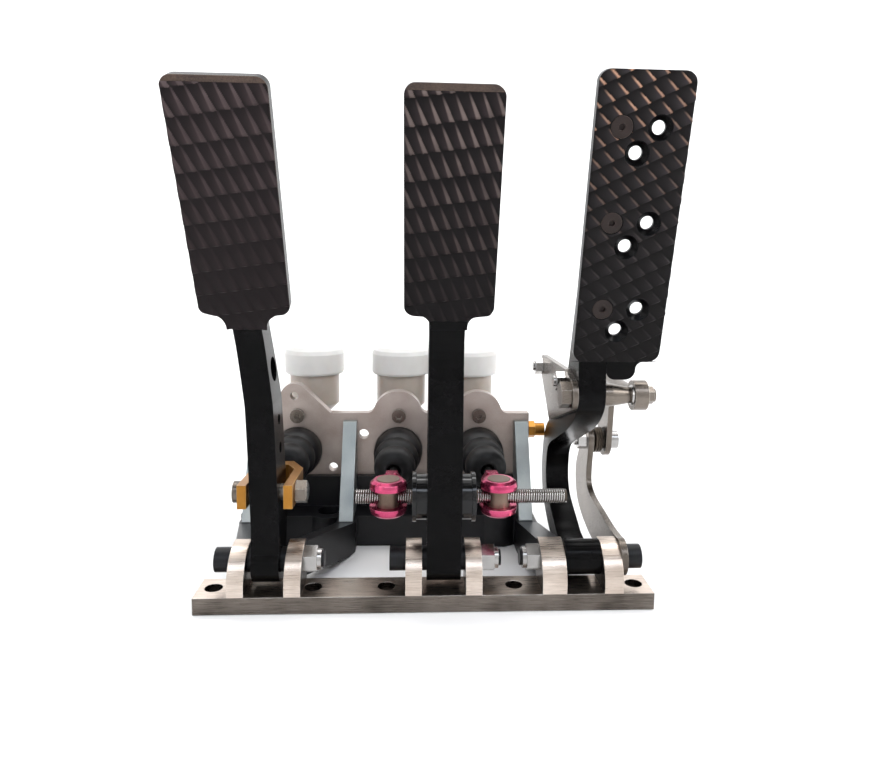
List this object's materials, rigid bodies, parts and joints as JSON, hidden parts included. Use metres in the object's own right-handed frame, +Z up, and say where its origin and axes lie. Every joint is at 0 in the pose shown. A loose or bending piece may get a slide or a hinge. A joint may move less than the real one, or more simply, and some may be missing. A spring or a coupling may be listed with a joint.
{
  "type": "pedal box",
  "caption": "Floor-mounted pedal box: clutch, brake and throttle pedals on a front bar, brake balance bar, hydraulic cylinders with fluid pots, and a throttle bellcrank linkage.",
  "frame": {"origin": "on the floor, midway between the two end floor bolts of the front bar", "axes": "+X to the driver's right, +Y forward away from the driver, +Z up"},
  "size_m": [0.3404, 0.338, 0.3742],
  "materials": {
    "bar_alloy": "raw machined aluminium, matte with bright edges",
    "frame_black": "satin black anodised aluminium",
    "plate_alloy": "fine blasted clear anodised aluminium",
    "bolt_black": "black oxide steel",
    "zinc_steel": "bright zinc plated steel",
    "cylinder_alloy": "machined aluminium",
    "reservoir_plastic": "translucent moulded plastic",
    "cap_plastic": "white moulded plastic",
    "boot_rubber": "moulded black rubber",
    "pedal_black": "satin black anodised aluminium",
    "gold_alloy": "gold anodised aluminium",
    "rose_alloy": "rose anodised aluminium",
    "sleeve_black": "polished black steel",
    "linkage_steel": "stainless steel",
    "spring_steel": "dark spring steel",
    "brown_steel": "brown phosphated steel"
  },
  "bodies": {
    "base": {"base_bar": "bar_alloy", "rear_frame": "frame_black", "mount_plate": "plate_alloy", "gusset_left": "plate_alloy", "gusset_middle": "plate_alloy", "gusset_right": "plate_alloy", "clutch_pivot_bolt": "bolt_black", "brake_pivot_bolt": "bolt_black", "throttle_pivot_bolt": "bolt_black", "pivot_nuts": "zinc_steel", "clutch_cylinder": "cylinder_alloy", "front_cylinder": "cylinder_alloy", "rear_cylinder": "cylinder_alloy", "clutch_reservoir": "reservoir_plastic", "front_reservoir": "reservoir_plastic", "rear_reservoir": "reservoir_plastic", "flange_screws": "zinc_steel", "clutch_boot": "boot_rubber", "front_boot": "boot_rubber", "rear_boot": "boot_rubber", "upright": "linkage_steel", "bellcrank_bolt": "zinc_steel", "throttle_spring": "spring_steel", "side_stud": "gold_alloy"},
    "clutch_cap": {"clutch_cap": "cap_plastic"},
    "front_cap": {"front_cap": "cap_plastic"},
    "rear_cap": {"rear_cap": "cap_plastic"},
    "clutch_pedal": {"clutch_arm": "pedal_black", "clutch_pad": "pedal_black", "clutch_bush": "bolt_black", "clutch_clevis_pin": "zinc_steel"},
    "clutch_link": {"clutch_clevis": "gold_alloy", "clutch_pushrod": "zinc_steel"},
    "clutch_piston": {"clutch_piston": "cylinder_alloy"},
    "brake_pedal": {"brake_arm": "pedal_black", "brake_pad": "pedal_black", "brake_bush": "bolt_black", "balance_sleeve": "sleeve_black", "balance_bearing": "zinc_steel"},
    "balance_bar": {"balance_bar": "zinc_steel"},
    "front_link": {"front_clevis": "rose_alloy", "front_trunnion": "brown_steel", "front_pushrod": "zinc_steel"},
    "rear_link": {"rear_clevis": "rose_alloy", "rear_trunnion": "brown_steel", "rear_pushrod": "zinc_steel"},
    "front_piston": {"front_piston": "cylinder_alloy"},
    "rear_piston": {"rear_piston": "cylinder_alloy"},
    "throttle_pedal": {"throttle_arm": "pedal_black", "throttle_pad": "pedal_black", "pad_screws": "bolt_black", "throttle_bush": "bolt_black", "cable_lever": "linkage_steel", "lever_studs": "zinc_steel", "stud_bolt": "linkage_steel", "cone_spacer": "linkage_steel", "stud_ball": "zinc_steel"},
    "throttle_link": {"throttle_link": "linkage_steel"},
    "bellcrank": {"bellcrank": "linkage_steel", "bellcrank_pin": "zinc_steel"}
  },
  "joints": [
    {"name": "clutch_press", "type": "hinge", "parent": "base", "child": "clutch_pedal", "pos_m": [-0.1172, 0.005, 0.032], "axis": [-1, 0, 0], "range_deg": [0, 22], "stiffness_Nm_per_rad": 4, "springref_deg": -8.59, "deforming": ["clutch_boot"]},
    {"name": "clutch_link_turn", "type": "hinge", "parent": "clutch_pedal", "child": "clutch_link", "pos_m": [-0.1172, 0.0085, 0.0825], "axis": [-1, 0, 0], "range_deg": [-23.9, 0]},
    {"name": "clutch_piston_slide", "type": "slide", "parent": "base", "child": "clutch_piston", "axis": [0, 1, 0], "range_m": [0, 0.019]},
    {"name": "brake_press", "type": "hinge", "parent": "base", "child": "brake_pedal", "pos_m": [0.0122, 0.005, 0.032], "axis": [-1, 0, 0], "range_deg": [0, 14], "stiffness_Nm_per_rad": 6, "springref_deg": -8.59, "deforming": ["front_boot", "rear_boot"]},
    {"name": "balance_bar_turn", "type": "hinge", "parent": "brake_pedal", "child": "balance_bar", "pos_m": [0.0122, 0.011, 0.0775], "axis": [1, 0, 0], "continuous": true},
    {"name": "front_link_turn", "type": "hinge", "parent": "brake_pedal", "child": "front_link", "pos_m": [-0.0293, 0.011, 0.0775], "axis": [-1, 0, 0], "range_deg": [-15.1, 0]},
    {"name": "rear_link_turn", "type": "hinge", "parent": "brake_pedal", "child": "rear_link", "pos_m": [0.0537, 0.011, 0.0775], "axis": [-1, 0, 0], "range_deg": [-15.1, 0]},
    {"name": "front_piston_slide", "type": "slide", "parent": "base", "child": "front_piston", "axis": [0, 1, 0], "range_m": [0, 0.011]},
    {"name": "rear_piston_slide", "type": "slide", "parent": "base", "child": "rear_piston", "axis": [0, 1, 0], "range_m": [0, 0.011]},
    {"name": "throttle_press", "type": "hinge", "parent": "base", "child": "throttle_pedal", "pos_m": [0.1165, 0.005, 0.032], "axis": [-1, 0, 0], "range_deg": [0, 12], "stiffness_Nm_per_rad": 4, "springref_deg": -8.59},
    {"name": "throttle_link_turn", "type": "hinge", "parent": "throttle_pedal", "child": "throttle_link", "pos_m": [0.153, -0.002, 0.158], "axis": [-1, 0, 0], "range_deg": [-12.1, 0]},
    {"name": "bellcrank_turn", "type": "hinge", "parent": "base", "child": "bellcrank", "pos_m": [0.162, 0.112, 0.094], "axis": [-1, 0, 0], "range_deg": [0, 24.2]},
    {"name": "clutch_cap_turn", "type": "hinge", "parent": "base", "child": "clutch_cap", "pos_m": [-0.1107, 0.199, 0.154], "axis": [0, 0, 1], "continuous": true},
    {"name": "front_cap_turn", "type": "hinge", "parent": "base", "child": "front_cap", "pos_m": [-0.0243, 0.199, 0.154], "axis": [0, 0, 1], "continuous": true},
    {"name": "rear_cap_turn", "type": "hinge", "parent": "base", "child": "rear_cap", "pos_m": [0.0432, 0.199, 0.154], "axis": [0, 0, 1], "continuous": true}
  ],
  "couplings": [
    {"joint": "clutch_link_turn", "follows": "clutch_press", "ratio": -1.08},
    {"joint": "clutch_piston_slide", "follows": "clutch_press", "m_per_rad": 0.0492},
    {"joint": "front_link_turn", "follows": "brake_press", "ratio": -1.074},
    {"joint": "rear_link_turn", "follows": "brake_press", "ratio": -1.074},
    {"joint": "front_piston_slide", "follows": "brake_press", "m_per_rad": 0.0446},
    {"joint": "rear_piston_slide", "follows": "brake_press", "m_per_rad": 0.0446},
    {"joint": "throttle_link_turn", "follows": "throttle_press", "ratio": -1},
    {"joint": "bellcrank_turn", "follows": "throttle_press", "ratio": 2.01}
  ]
}
